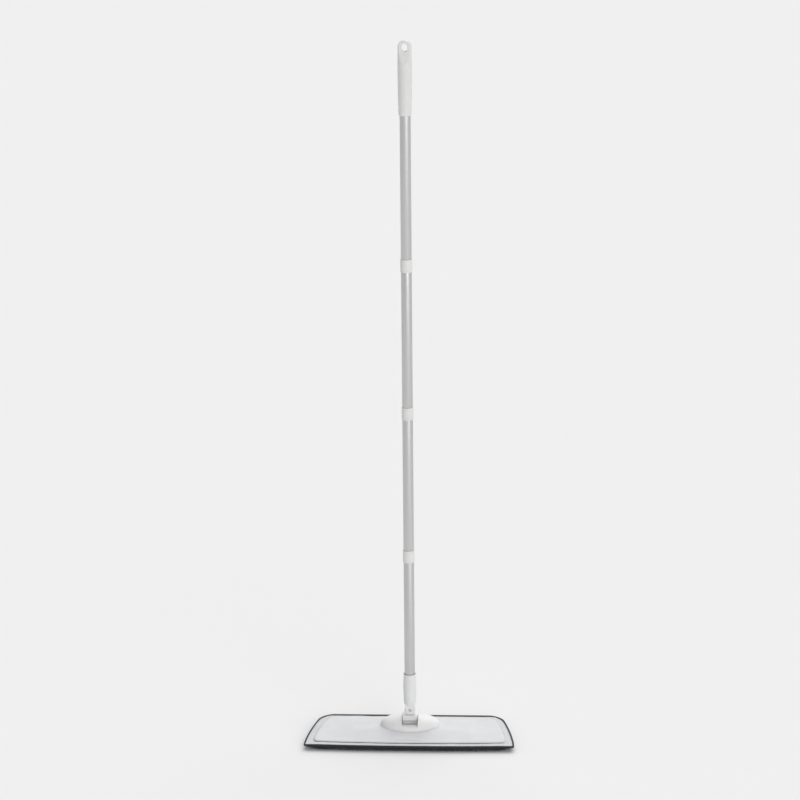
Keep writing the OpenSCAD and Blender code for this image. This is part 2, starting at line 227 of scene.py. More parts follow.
# %% [markdown]
# ### Moulded grain
# A steel mould is spark-eroded to hide fingerprints, and the plastic copies that fine grain.
# Two noises do it: a very fine one for the grain, and a broad one for the mottle.

# %% Moulded grain
tree, given, put = effect("moulded_grain", {"Scale": 2600.0}, ("Height", "Mottle"))
fine = noise_at(tree, given.outputs["Scale"], 2.0, 0.6)
broad = noise_at(tree, 45.0, 4.0, 0.6)
wire(tree, (fine, put.inputs["Height"]), (broad, put.inputs["Mottle"]))
moulded_grain = tree

# %% [markdown]
# ### Edge wear
# Corners are rubbed first, so wear follows how sharply the surface turns.
# The Geometry node's Pointiness measures that, and noise breaks the rubbed line up.

# %% Edge wear
tree, given, put = effect("edge_wear", {"Start": 0.53, "Amount": 0.6}, ("Mask",))
shape = add(tree, "ShaderNodeNewGeometry")
past = maths(tree, "SUBTRACT", shape.outputs["Pointiness"], given.outputs["Start"])
steep = maths(tree, "MULTIPLY", past, 14.0)
patch = maths(tree, "MULTIPLY", steep, noise_at(tree, 300.0, 5.0, 0.7))
level = add(tree, "ShaderNodeClamp")
wire(tree, (patch, level.inputs["Value"]))
worn = maths(tree, "MULTIPLY", level.outputs["Result"], given.outputs["Amount"])
wire(tree, (worn, put.inputs["Mask"]))
edge_wear = tree

# %% [markdown]
# ### Dust
# House dust settles in soft patches, mostly on what faces up.
# The object's own normal tells which way a face looks, so a turned mop keeps its dust.

# %% Dust
tree, given, put = effect("dust", {"Amount": 0.15, "Scale": 60.0}, ("Mask",))
upward = add(tree, "ShaderNodeClamp")
wire(tree, (axes_of(tree, "Normal")["Z"], upward.inputs["Value"]))
patches = noise_at(tree, given.outputs["Scale"], 6.0, 0.65)
lying = maths(tree, "MULTIPLY", patches, maths(tree, "ADD", upward.outputs["Result"], 0.35))
wire(tree, (maths(tree, "MULTIPLY", lying, given.outputs["Amount"]), put.inputs["Mask"]))
dust = tree

# %% [markdown]
# ### Drawn metal
# The tubes are drawn through a die, which leaves long fine lines along the pole.
# Noise stretched 250 times along Z gives them, and a slower noise gives dull patches.

# %% Drawn metal
tree, given, put = effect("drawn_metal", {"Scale": 2200.0}, ("Streaks", "Dullness"))
lines = noise_at(tree, given.outputs["Scale"], 2.0, 0.6, (1, 1, 0.004))
dull = noise_at(tree, 28.0, 5.0, 0.6, (1, 1, 0.25))
wire(tree, (lines, put.inputs["Streaks"]), (dull, put.inputs["Dullness"]))
drawn_metal = tree

# %% [markdown]
# ### Weave
# In a plain weave each thread goes over one and under the next.
# A checker picks which thread is on top, and two bands of waves round the threads.

# %% Weave
tree, given, put = effect("weave", {"Threads": 900.0}, ("Height", "Over"))
place = add(tree, "ShaderNodeTexCoord")
check = add(tree, "ShaderNodeTexChecker")
wire(tree, (place.outputs["Object"], check.inputs["Vector"]))
wire(tree, (given.outputs["Threads"], check.inputs["Scale"]))
bands = []
for side in ("X", "Y"):
    wave = add(tree, "ShaderNodeTexWave", {"Distortion": 0.4, "Detail": 1.0}, bands_direction=side)
    third = maths(tree, "MULTIPLY", given.outputs["Threads"], 0.159)
    wire(tree, (place.outputs["Object"], wave.inputs["Vector"]), (third, wave.inputs["Scale"]))
    bands.append(wave.outputs["Fac"])
over = maths(tree, "MULTIPLY", bands[0], check.outputs["Fac"])
under = maths(tree, "MULTIPLY", bands[1], maths(tree, "SUBTRACT", 1.0, check.outputs["Fac"]))
wire(tree, (maths(tree, "ADD", over, under), put.inputs["Height"]))
wire(tree, (check.outputs["Fac"], put.inputs["Over"]))
weave = tree

# %% [markdown]
# ### Painted slot shade
# Low in the hinge slot a dark brown colour is painted, as painted shade where little light reaches.
# A piece's own height and two reaches keep the painted shade low in the slot, and noise makes its edge
# uneven.

# %% Painted slot shade
# Mask of the painted shade: below a height and inside the slot's reach
tree, given, put = effect("painted_slot_shade", {"Height": 0.036, "Softness": 1200.0}, ("Mask",))
axes = axes_of(tree, "Object")
below = maths(tree, "SUBTRACT", given.outputs["Height"], axes["Z"])
depth = maths(tree, "MULTIPLY", below, given.outputs["Softness"])
reached = maths(tree, "MINIMUM", maths(tree, "ADD", depth, noise_at(tree, 400.0, 3.0)), 1.0)
for axis, reach in (("X", 0.0158), ("Y", 0.0143)):
    inside = maths(tree, "SUBTRACT", reach, maths(tree, "ABSOLUTE", axes[axis], 0.0))
    reached = maths(tree, "MINIMUM", reached, maths(tree, "MULTIPLY", inside, 6000.0))
painted_shade_node = add(tree, "ShaderNodeClamp")
wire(tree, (reached, painted_shade_node.inputs["Value"]), (painted_shade_node.outputs["Result"], put.inputs["Mask"]))
painted_slot_shade = tree

# %% [markdown]
# ### Nap
# Split microfibre stands up in a short soft nap that lies in streaks where it was brushed.
# A fine noise is the fibre ends, and a broad one is the direction they were left in.

# %% Nap
tree, given, put = effect("nap", {"Scale": 1500.0}, ("Height", "Shade"))
ends = noise_at(tree, given.outputs["Scale"], 4.0, 0.7)
laid = noise_at(tree, 90.0, 5.0, 0.6)
wire(tree, (ends, put.inputs["Height"]), (laid, put.inputs["Shade"]))
nap = tree
print("effects", [group.name for group in bpy.data.node_groups])

# %% [markdown]
# ## Finishes
# A finish mixes its own colour with a second one by an effect's mask, and bends the surface by its height.
# Plastics get mottle, dust and pale rubbed edges, and the hinge slot gets painted shade. Metals get streaks.
# A value that is the same all over is set on the shader's own socket.

# %% Finish helpers


def group_in(tree, effect_tree, **values):
    """Places an effect in a material."""
    node = tree.nodes.new("ShaderNodeGroup")
    node.node_tree = effect_tree
    for name, value in values.items():
        node.inputs[name].default_value = value
    return node


def mixed(tree, share, first, second):
    """Mixes two colours; each may be a colour or a socket."""
    node = add(tree, "ShaderNodeMix", data_type="RGBA")
    tree.links.new(share, node.inputs[0])
    for place, value in ((6, first), (7, second)):
        if isinstance(value, tuple):
            node.inputs[place].default_value = (*value, 1)
        else:
            tree.links.new(value, node.inputs[place])
    return node.outputs[2]


def ranged(tree, value, low, high):
    """Spreads a noise from its usual 0.3 to 0.7 over a new range."""
    node = add(tree, "ShaderNodeMapRange", {"From Min": 0.3, "From Max": 0.7, "To Min": low, "To Max": high})
    tree.links.new(value, node.inputs["Value"])
    return node.outputs["Result"]


def raised(tree, shader, height, depth, strength=1.0):
    """Bends the surface by a height."""
    bump = add(tree, "ShaderNodeBump", {"Distance": depth, "Strength": strength})
    wire(tree, (height, bump.inputs["Height"]), (bump.outputs["Normal"], shader.inputs["Normal"]))


def new_finish(name, **sockets):
    """A material with constant values set on its shader."""
    material = bpy.data.materials.new(name)
    material.use_nodes = True
    tree = material.node_tree
    shader = tree.nodes["Principled BSDF"]
    for label, value in sockets.items():
        shader.inputs[label.replace("_", " ")].default_value = value
    return material, tree, shader


# %% Plastic


def plastic(name, colour, rough=(0.36, 0.5), grain=2600.0, dusty=0.12, gloss=0.4, slot_shade_below=0):
    """Moulded plastic with grain, mottle, rubbed edges, dust, and painted slot shade below a height in
    metres.
    """
    material, tree, shader = new_finish(name, IOR=1.49, Specular_IOR_Level=gloss)
    skin = group_in(tree, moulded_grain, Scale=grain)
    rub = group_in(tree, edge_wear, Amount=0.4)
    grime = group_in(tree, dust, Amount=dusty)
    shade = tuple(part * 0.94 for part in colour)
    pale = tuple(min(part * 1.08, 0.93) for part in colour)
    base = mixed(tree, ranged(tree, skin.outputs["Mottle"], 0, 1), colour, shade)
    rubbed = mixed(tree, rub.outputs["Mask"], base, pale)
    dusted_and_shaded = mixed(tree, grime.outputs["Mask"], rubbed, (0.62, 0.60, 0.56))
    # Painted shade: a dark brown colour low in the hinge slot, where the slot lies in shade
    if slot_shade_below:
        painted_shade_node = group_in(tree, painted_slot_shade, Height=slot_shade_below)
        dusted_and_shaded = mixed(tree, painted_shade_node.outputs["Mask"], dusted_and_shaded, (0.15, 0.12, 0.10))
    wire(tree, (dusted_and_shaded, shader.inputs["Base Color"]))
    wire(tree, (ranged(tree, skin.outputs["Mottle"], *rough), shader.inputs["Roughness"]))
    raised(tree, shader, skin.outputs["Height"], 0.00002)
    return material


PLASTICS = {
    "grip_plastic": {"colour": (0.73, 0.725, 0.72), "rough": (0.34, 0.46)},
    "collar_plastic": {"colour": (0.74, 0.74, 0.725), "rough": (0.3, 0.42)},
    "neck_plastic": {"colour": (0.77, 0.775, 0.775), "rough": (0.38, 0.5)},
    # The block and the housing get painted shade low in the hinge slot, below the given height in metres
    "block_plastic": {"colour": (0.77, 0.775, 0.775), "rough": (0.38, 0.5), "slot_shade_below": 0.0352},
    "housing_plastic": {"colour": (0.80, 0.80, 0.805), "rough": (0.5, 0.62), "gloss": 0.25, "slot_shade_below": 0.0299},
    "plate_plastic": {"colour": (0.70, 0.705, 0.722), "rough": (0.6, 0.72), "dusty": 0.08, "gloss": 0.15},
    "plug_plastic": {"colour": (0.62, 0.62, 0.60), "rough": (0.4, 0.55)},
    "washer_nylon": {"colour": (0.60, 0.55, 0.50), "rough": (0.45, 0.6)},
    "hook_nylon": {"colour": (0.60, 0.60, 0.60), "rough": (0.5, 0.65), "grain": 3200.0},
}
finishes = {name: plastic(name, **values) for name, values in PLASTICS.items()}
print("plastics", list(finishes))

# %% Metal


def metal(name, colour, dark, metallic, rough, lines=2200.0, depth=0.000012):
    """Drawn or turned metal with streaks and dull patches."""
    material, tree, shader = new_finish(name, Metallic=metallic)
    die = group_in(tree, drawn_metal, Scale=lines)
    streaked = mixed(tree, ranged(tree, die.outputs["Streaks"], 0, 1), colour, dark)
    rub = group_in(tree, edge_wear, Amount=0.5)
    bright = tuple(min(part * 1.15, 0.95) for part in colour)
    wire(tree, (mixed(tree, rub.outputs["Mask"], streaked, bright), shader.inputs["Base Color"]))
    wire(tree, (ranged(tree, die.outputs["Dullness"], *rough), shader.inputs["Roughness"]))
    raised(tree, shader, die.outputs["Streaks"], depth)
    return material


METALS = {
    "tube_aluminium": ((0.60, 0.605, 0.60), (0.52, 0.525, 0.52), 0.8, (0.32, 0.46)),
    "pin_steel": ((0.62, 0.62, 0.62), (0.5, 0.5, 0.5), 1.0, (0.3, 0.45)),
    "screw_steel": ((0.55, 0.55, 0.56), (0.42, 0.42, 0.43), 1.0, (0.22, 0.38)),
}
for name, values in METALS.items():
    finishes[name] = metal(name, *values)
print("metals", list(METALS))

# %% Cloth


def cloth(name, colour, shade, pattern, depth, rough, sheen, values):
    """Woven or napped fabric. The pattern is one of the cloth effects."""
    material, tree, shader = new_finish(name, Sheen_Weight=sheen, Sheen_Roughness=0.4, Specular_IOR_Level=0.2)
    made = group_in(tree, pattern, **values)
    tone = made.outputs[1]
    patchy = ranged(tree, noise_at(tree, 60.0, 5.0, 0.6), 0, 0.6)
    base = mixed(tree, ranged(tree, tone, 0, 1), colour, shade)
    uneven = mixed(tree, patchy, base, shade)
    wire(tree, (uneven, shader.inputs["Base Color"]))
    wire(tree, (ranged(tree, tone, *rough), shader.inputs["Roughness"]))
    raised(tree, shader, made.outputs["Height"], depth)
    return material


# Each cloth: colour, shade, its effect and that effect's depth, roughness, sheen, and the effect's own value
CLOTHS = {
    "backing_fabric": (
        (0.74, 0.75, 0.76), (0.64, 0.65, 0.66), weave, 0.0002, (0.8, 0.95), 0.25, {"Threads": 1250.0}
    ),
    "felt_core": ((0.045, 0.052, 0.054), (0.02, 0.024, 0.026), nap, 0.0004, (0.85, 1.0), 0.3, {}),
    "pile_microfibre": ((0.040, 0.047, 0.050), (0.016, 0.020, 0.022), nap, 0.0003, (0.8, 0.95), 0.35, {}),
    "binding_tape": (
        (0.040, 0.048, 0.052), (0.018, 0.022, 0.025), weave, 0.0002, (0.7, 0.9), 0.2, {"Threads": 1300.0}
    ),
    "stitch_thread": (
        (0.10, 0.11, 0.115), (0.05, 0.055, 0.06), nap, 0.0001, (0.5, 0.7), 0.3, {"Scale": 4000.0}
    ),
}
for name, values in CLOTHS.items():
    finishes[name] = cloth(name, *values)
print("finishes", len(finishes))

# %% [markdown]
# ## Making and finishing a mesh
# Most pieces of a mop are turned: an outline spun about the pole's axis.
# The outline's corners are bevelled before it is spun, so every edge has the small round a real one has.
# Spun meshes are welded and their faces turned outwards. Every piece rides on the body it belongs to.

# %% Mesh helpers


def rounded(part, geom, affect, size, segments):
    """Rounds corners or edges of a part."""
    bmesh.ops.bevel(
        part, geom=geom, affect=affect, offset=size, segments=segments, profile=0.5,
        material=-1, clamp_overlap=True
    )


def turned(outline, steps=96):
    """Spins a closed outline of (radius, height, rounding) about the Z axis."""
    part = bmesh.new()
    points = [part.verts.new((radius, 0, height)) for radius, height, _ in outline]
    on_axis = outline[0][0] == 0 and outline[-1][0] == 0
    pairs = list(zip(points, points[1:]))
    if not on_axis:
        pairs.append((points[-1], points[0]))
    for pair in pairs:
        part.edges.new(pair)
    for size in sorted({spot[2] for spot in outline if spot[2] > 0}):
        corners = [point for point, spot in zip(points, outline) if spot[2] == size]
        rounded(part, corners, "VERTICES", size, 4)
    bmesh.ops.spin(
        part, geom=part.verts[:] + part.edges[:], cent=(0, 0, 0), axis=(0, 0, 1), dvec=(0, 0, 0),
        angle=math.tau, steps=steps, use_merge=True, use_duplicate=False
    )
    bmesh.ops.remove_doubles(part, verts=part.verts, dist=1e-4)
    bmesh.ops.recalc_face_normals(part, faces=part.faces)
    return part


def prism(outline, low, high):
    """A closed straight-sided solid from a flat outline, between two heights."""
    part = bmesh.new()
    face = part.faces.new([part.verts.new((x, y, low)) for x, y in outline])
    grown = bmesh.ops.extrude_face_region(part, geom=[face])
    top = [item for item in grown["geom"] if isinstance(item, bmesh.types.BMVert)]
    bmesh.ops.translate(part, verts=top, vec=(0, 0, high - low))
    bmesh.ops.recalc_face_normals(part, faces=part.faces)
    return part


def block(low, high, rounding=0.0):
    """A box from its lowest to its highest corner, with rounded edges."""
    part = bmesh.new()
    size = Vector(high) - Vector(low)
    middle = (Vector(high) + Vector(low)) / 2
    bmesh.ops.create_cube(part, size=1, matrix=Matrix.Translation(middle) @ Matrix.Diagonal((*size, 1)))
    if rounding:
        rounded(part, part.edges[:], "EDGES", rounding, 3)
    return part


def laid(part, axis, centre=(0, 0, 0)):
    """Turns a part from the Z axis to another axis and moves it."""
    if axis == "X":
        bmesh.ops.rotate(part, verts=part.verts, matrix=Matrix.Rotation(math.pi / 2, 3, "Y"))
    if axis == "Y":
        bmesh.ops.rotate(part, verts=part.verts, matrix=Matrix.Rotation(-math.pi / 2, 3, "X"))
    bmesh.ops.translate(part, verts=part.verts, vec=centre)
    return part


def rod(axis, centre, radius, half_length):
    """A plain round bar, used as a cutter or a core."""
    outline = [(0, -half_length, 0), (radius, -half_length, 0), (radius, half_length, 0), (0, half_length, 0)]
    return laid(turned(outline, 64), axis, centre)


def as_mesh(name, part):
    """Writes a part to a new mesh and lets the part go."""
    mesh = bpy.data.meshes.new(name)
    part.to_mesh(mesh)
    part.free()
    return mesh


def together(parts):
    """One mesh that holds several parts."""
    whole = bmesh.new()
    for part in parts:
        mesh = as_mesh("loose", part)
        whole.from_mesh(mesh)
        bpy.data.meshes.remove(mesh)
    return whole


# %% Finishing a piece


def as_object(name, part):
    """Turns a mesh in millimetres into an object in metres at the origin."""
    bmesh.ops.scale(part, verts=part.verts, vec=(MM, MM, MM))
    piece = bpy.data.objects.new(name, as_mesh(name, part))
    scene.collection.objects.link(piece)
    return piece


def applied(piece):
    """Applies every modifier of a piece to its mesh."""
    seen = piece.evaluated_get(bpy.context.evaluated_depsgraph_get())
    mesh = bpy.data.meshes.new_from_object(seen)
    old = piece.data
    piece.modifiers.clear()
    piece.data = mesh
    bpy.data.meshes.remove(old)
    return piece


RECORD_SLOT = {"stitch_thread": "binding_tape", "block_plastic": "neck_plastic"}


def dressed(piece, body, finish, nodes=(), sharp=38):
    """Shades a piece, gives it its finish, and sets the body it rides on."""
    piece.data.materials.clear()
    piece.data.materials.append(finishes[finish])
    piece.data.shade_smooth()
    if sharp:
        piece.data.set_sharp_from_angle(angle=math.radians(sharp))
    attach(piece, body)
    RECORD_SLOT.get(finish, finish)
    if nodes:
        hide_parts(*nodes)
    print(piece.name, len(piece.data.polygons), "faces on", body)
    return piece


def cut_by(piece, cutters):
    """Takes the cutters away from a piece."""
    for number, cutter in enumerate(cutters):
        tool = as_object(f"cutter_{number}", cutter)
        step = piece.modifiers.new("cut", "BOOLEAN")
        step.operation = "DIFFERENCE"
        step.solver = "EXACT"
        step.object = tool
        applied(piece)
        bpy.data.meshes.remove(tool.data)
    return piece


def softened(piece, grain_mm, rounds):
    """Rebuilds a piece as an even fine skin and smooths it, as a moulding's rounded edges are."""
    skin = piece.modifiers.new("skin", "REMESH")
    skin.mode = "VOXEL"
    skin.voxel_size = grain_mm * MM
    smooth = piece.modifiers.new("smooth", "SMOOTH")
    smooth.factor = 0.5
    smooth.iterations = rounds
    return applied(piece)


# %% [markdown]
# ## The four tubes
# Each tube is drawn aluminium, 20 mm across with a 1 mm wall.
# A cylinder would do for the shape, but its cut ends would be razor sharp.
# So the wall's own outline is spun instead, with its corners bevelled first.

# %% Tubes
TUBE_WALL = 1.0
TUBE_R = 10.0
BODY_OF_TUBE = {1: "top_section", 2: "upper_section", 3: "lower_section", 4: "bottom_section"}


def tube(number):
    """One length of tube, open at both ends."""
    low, high = span(f"tube_{number}")
    outer = (high.x - low.x) / 2
    inner = outer - TUBE_WALL
    wall = [(inner, low.z, 0.2), (outer, low.z, 0.3), (outer, high.z, 0.3), (inner, high.z, 0.2)]
    piece = as_object(f"drawn_tube_{number}", turned(wall, 128))
    return dressed(piece, BODY_OF_TUBE[number], "tube_aluminium", [f"tube_{number}"])


for number in BODY_OF_TUBE:
    tube(number)

# %% [markdown]
# ## Joint collars
# A collar hides each screwed joint. It is pressed on the tube above it, and its lower mouth takes the screw.
# Its edges are softly rounded, and a shallow groove near each end shows where the mould closed.

# %% Collars
COLLAR_H = 24.0
COLLAR_REACH = 3.0
BORE_R = 7.28
SEAT = 0.02
GROOVE = 0.25


def collar(number):
    """A collar with its stem in the tube above."""
    low, high = span(f"joint_collar_{number}")
    outer = (high.x - low.x) / 2
    foot = low.z
    top = foot + COLLAR_H
    stem_r = TUBE_R - TUBE_WALL - SEAT
    inlet = foot + COLLAR_REACH + 1.8
    grooves = []
    for start in (foot + 3.2, top - 4.4):
        grooves += [(outer, start, 0.15), (outer - GROOVE, start + 0.3, 0.1)]
        grooves += [(outer - GROOVE, start + 0.9, 0.1), (outer, start + 1.2, 0.15)]
    outline = [
        (BORE_R, inlet, 0.2), (TUBE_R + 0.3, inlet, 0.1), (TUBE_R + 0.3, foot, 0.25), (outer, foot, 0.7),
        *grooves,
        (outer, top, 0.7), (TUBE_R + SEAT, top, 0.2), (TUBE_R + SEAT, top - COLLAR_REACH, 0),
        (stem_r, top - COLLAR_REACH, 0), (stem_r, high.z, 0.5),
        (0, high.z, 0), (0, high.z - 6, 0), (BORE_R, high.z - 8, 0.5),
    ]
    piece = as_object(f"moulded_collar_{number}", turned(outline))
    return dressed(piece, BODY_OF_TUBE[number], "collar_plastic", [f"joint_collar_{number}"])


for number in (1, 2, 3):
    collar(number)

# %% [markdown]
# ## Screwed plugs
# Each lower tube ends in a plug with a coarse screw, which turns into the collar above it.
# The core is spun from its outline. The ridge is a small blunt tooth spun along the axis, a helix.
# Spin's dvec moves each step up a little, and that turns a circle into a screw.

# %% Plugs
SCREW_R = 6.98
RIDGE = 0.6
PITCH = 4.0
FLANGE = 1.5
STEM_H = 25
FOOT_SCREW_H = 11


def ridge(low, high, steps=32):
    """A helical ridge round the axis between two heights."""
    part = bmesh.new()
    root = SCREW_R - RIDGE - 0.2
    shape = [(root, -1.0), (SCREW_R, -0.35), (SCREW_R, 0.35), (root, 1.0)]
    points = [part.verts.new((radius, 0, low + 1 + rise)) for radius, rise in shape]
    part.faces.new(points)
    turns = (high - low - 2) / PITCH
    count = int(turns * steps)
    bmesh.ops.spin(
        part, geom=part.verts[:] + part.edges[:] + part.faces[:], cent=(0, 0, 0), axis=(0, 0, 1),
        dvec=(0, 0, PITCH / steps), angle=math.tau * count / steps, steps=count,
        use_merge=False, use_duplicate=False
    )
    bmesh.ops.holes_fill(part, edges=[edge for edge in part.edges if edge.is_boundary])
    bmesh.ops.remove_doubles(part, verts=part.verts, dist=1e-4)
    bmesh.ops.recalc_face_normals(part, faces=part.faces)
    return part


def plug(node, body, screw_low, screw_high, stem, name):
    """A plug: a stem in the tube, a flange on its end and a screw."""
    stem_from, stem_to, flange_from, flange_to = stem
    core = SCREW_R - RIDGE
    flange_r = TUBE_R - 0.4
    stem_r = TUBE_R - TUBE_WALL - SEAT
    flange = [(flange_r, flange_from, 0.2), (flange_r, flange_to, 0.2)]
    if screw_low >= flange_to - 0.1:
        outline = [(0, stem_from, 0), (stem_r, stem_from, 0.5), (stem_r, stem_to, 0), *flange]
        outline += [(core, flange_to, 0), (core, screw_high, 0.8), (0, screw_high, 0)]
    else:
        outline = [(0, screw_low, 0), (core, screw_low, 0.8), (core, flange_from, 0), *flange]
        outline += [(stem_r, flange_to, 0), (stem_r, stem_to, 0.5), (0, stem_to, 0)]
    piece = as_object(name, together([turned(outline), ridge(screw_low, screw_high)]))
    return dressed(piece, body, "plug_plastic", [node])


for number in (1, 2, 3):
    low, high = span(f"thread_plug_{number}")
    seat = low.z + STEM_H
    plug(
        f"thread_plug_{number}", BODY_OF_TUBE[number + 1], seat + FLANGE, high.z,
        (low.z, seat, seat, seat + FLANGE), f"screwed_plug_{number}"
    )
low, high = span("foot_plug")
foot = low.z + FOOT_SCREW_H
plug("foot_plug", "bottom_section", low.z, foot, (foot, high.z, foot, foot + FLANGE), "screwed_plug_foot")

# %% [markdown]
# ## Grip
# The grip is a hollow white moulding with a slight swell, which thins to a flat end with a hanging hole.
# It starts as a spun form. Two prisms trim its front and its side, and a slotted cutter makes the hole.
# Then the whole is rebuilt as an even fine skin and smoothed, so that every cut edge is softly rounded.

# %% Grip
BORE_DEPTH = 94
HOLE_W = 10.7
HOLE_H = 15.0
LOOP_RISE = 122.6
END_R = 12.4
THIN = 7.0


def grip():
    """The grip with its tube bore and its hanging hole."""
    low, high = span("grip")
    foot = low.z
    tall = high.z - low.z
    loop = foot + LOOP_RISE
    outline = [
        (0, foot, 0), (11.9, foot, 0.5), (12.0, foot + 17, 0), (12.4, foot + 18.2, 0.6),
        (12.8, foot + tall * 0.45, 6), (13.0, foot + tall * 0.62, 8), (12.9, foot + tall * 0.72, 6),
        (12.5, foot + tall * 0.82, 4), (12.5, high.z, 0), (0, high.z, 0)
    ]
    form = as_object("trimmed_grip", turned(outline, 128))
    arc = [math.radians(angle) for angle in range(0, 181, 5)]
    crown = [(END_R * math.cos(a), loop + END_R * math.sin(a)) for a in arc]
    over = 40
    front = [(over, loop), *crown, (-over, loop), (-over, loop + over), (over, loop + over)]
    side = [
        (14, loop - 34), (THIN + 3.4, loop - 21), (THIN + 0.9, loop - 9), (THIN + 0.1, loop),
        (THIN, high.z - 2), (THIN - 2, high.z + 0.2), (over, high.z + 0.2), (over, loop - 34)
    ]
    round_z = loop + (HOLE_H - HOLE_W) / 2
    slot = [(HOLE_W / 2 * math.cos(a), round_z + HOLE_W / 2 * math.sin(a)) for a in arc]
    slot += [(-x, 2 * loop - z) for x, z in slot]
    back = [(-y, z) for y, z in side]
    cutters = []
    for shape, from_side in ((front, False), (slot, False), (side, True), (back, True)):
        cutter = prism(shape, -over, over)
        bmesh.ops.rotate(cutter, verts=cutter.verts, matrix=Matrix.Rotation(math.pi / 2, 3, "X"))
        if from_side:
            bmesh.ops.rotate(cutter, verts=cutter.verts, matrix=Matrix.Rotation(math.pi / 2, 3, "Z"))
        cutters.append(cutter)
    cutters.append(rod("Z", (0, 0, foot + BORE_DEPTH / 2 - 0.5), TUBE_R + 0.05, BORE_DEPTH / 2 + 0.5))
    cut_by(form, cutters)
    softened(form, 0.5, 6)
    return dressed(form, "top_section", "grip_plastic", ["grip"], 0)


grip()

# %% [markdown]
# ## Neck socket
# The foot of the pole screws into a tall open cup. Below it are two rounded ears, front and back.
# They close on a flat tongue, with a pin through all three, so that the pole tips from side to side.

# %% Neck socket
EAR_OUT = 9.0
EAR_R = 9.0
TONGUE_R = 10.4
low, high = span("neck_socket")
ROLL_Z = low.z + EAR_R
RIM_Z = high.z
PIN_R = 3.0
SOCKET_DEPTH = 43
MOUTH_R = TUBE_R + 0.5


def neck_socket():
    """The cup and its two ears."""
    rim = 11.85
    tall = RIM_Z - ROLL_Z
    cup = [
        (0, ROLL_Z + 7, 0), (9.8, ROLL_Z + 7, 0), (12.0, ROLL_Z + 15, 3), (12.0, ROLL_Z + 24, 3),
        (12.6, ROLL_Z + tall - 28, 4), (12.6, ROLL_Z + tall - 22, 4), (rim, ROLL_Z + tall - 4, 2),
        (rim, RIM_Z, 0.4), (0, RIM_Z, 0)
    ]
    ears = rod("Y", (0, 0, ROLL_Z), EAR_R, EAR_OUT)
    strap = block((-EAR_R, -EAR_OUT, ROLL_Z), (EAR_R, EAR_OUT, ROLL_Z + 12))
    form = as_object("moulded_neck", together([turned(cup), ears, strap]))
    softened(form, 0.45, 0)
    gap = 4.3
    cut_by(form, [
        block((-20, -gap, ROLL_Z - 20), (20, gap, ROLL_Z + TONGUE_R + 0.7)),
        rod("Y", (0, 0, ROLL_Z), PIN_R + 0.02, 20),
        rod("Z", (0, 0, RIM_Z - SOCKET_DEPTH + 22.5), MOUTH_R, 22.5),
        rod("Z", (0, 0, RIM_Z - SOCKET_DEPTH - 5.5), BORE_R, 6),
        turned([(0, RIM_Z - 2.6, 0), (10.4, RIM_Z - 2.6, 0), (11.3, RIM_Z + 0.6, 0), (0, RIM_Z + 0.6, 0)]),
    ])
    softened(form, 0.45, 5)
    return dressed(form, "neck", "neck_plastic", ["neck_socket"], 0)


neck_socket()

# %% [markdown]
# ## Cross block
# Between the ears and the head sits one small block that turns both ways.
# Its barrel lies across the head on the lower pin, and its tongue stands up to the upper pin.

# %% Cross block
PITCH_Z = 37.5
BLOCK_W = 29.0
BLOCK_R = 8.7
BARREL_R = 5.4
TONGUE_HALF = 4.0


def cross_block():
    """The barrel with its squared top and its tongue."""
    half = BLOCK_W / 2
    barrel = rod("X", (0, 0, PITCH_Z), BARREL_R, half)
    top = block((-half, -BLOCK_R, PITCH_Z + 0.8), (half, BLOCK_R, PITCH_Z + 9.3), 0.6)
    foot_band = block((-half, -BLOCK_R - 0.5, PITCH_Z - 1.7), (half, BLOCK_R + 0.5, PITCH_Z + 1.0), 0.4)
    tongue = rod("Y", (0, 0, ROLL_Z), TONGUE_R, TONGUE_HALF)
    web = block((-TONGUE_R, -TONGUE_HALF, PITCH_Z), (TONGUE_R, TONGUE_HALF, ROLL_Z))
    form = as_object("moulded_cross_block", together([barrel, top, foot_band, tongue, web]))
    softened(form, 0.35, 0)
    cut_by(form, [rod("Y", (0, 0, ROLL_Z), PIN_R + 0.05, 12), rod("X", (0, 0, PITCH_Z), PIN_R + 0.05, 30)])
    softened(form, 0.35, 4)
    return dressed(form, "cross", "block_plastic", ["cross_block"], 0)


cross_block()

# %% [markdown]
# ## Pins and washers
# A steel pin has a small chamfer at each end, so that it enters its hole.
# The two thin nylon washers at the block's ends give the joint its even drag.

# %% Pins and washers


def pin(node, axis, height, body, name):
    """A plain pin with rounded ends."""
    low, high = span(node)
    half = (high.x - low.x) / 2 if axis == "X" else (high.y - low.y) / 2
    outline = [(0, -half, 0), (PIN_R, -half, 0.5), (PIN_R, half, 0.5), (0, half, 0)]
    piece = as_object(name, laid(turned(outline, 64), axis, (0, 0, height)))
    return dressed(piece, body, "pin_steel", [node])


pin("roll_pin", "Y", ROLL_Z, "neck", "steel_roll_pin")
pin("pitch_pin", "X", PITCH_Z, "head", "steel_pitch_pin")

low, high = span("friction_washers")
WASHER_T = 0.6
rings = []
half = WASHER_T / 2
inner = PIN_R + 0.05
ring = [(inner, -half, 0.1), (2 * PIN_R, -half, 0.15), (2 * PIN_R, half, 0.15), (inner, half, 0.1)]
for side in (-1, 1):
    rings.append(laid(turned(ring, 64), "X", (side * (high.x - half), 0, PITCH_Z)))
dressed(as_object("nylon_washers", together(rings)), "head", "washer_nylon", ["friction_washers"])

# %% [markdown]
# ## Pivot housing
# The white dome over the middle of the head holds the lower pin between two inner cheeks.
# Its crest is rounder than a box and flatter than an egg, a curve known as a superellipse.
# A slot for the block and a channel to front and back are cut out, to let the pole lie down.

# %% Pivot housing
HOUSING_W = 114.0
HOUSING_D = 60.0
HOUSING_TOP = 43.0
HOUSING_SEAT = 20.0
MOUND_Z = 25.0
CHEEK_X = 15.5
SLOT_Y = 13.7
CHANNEL_Z = 30.5


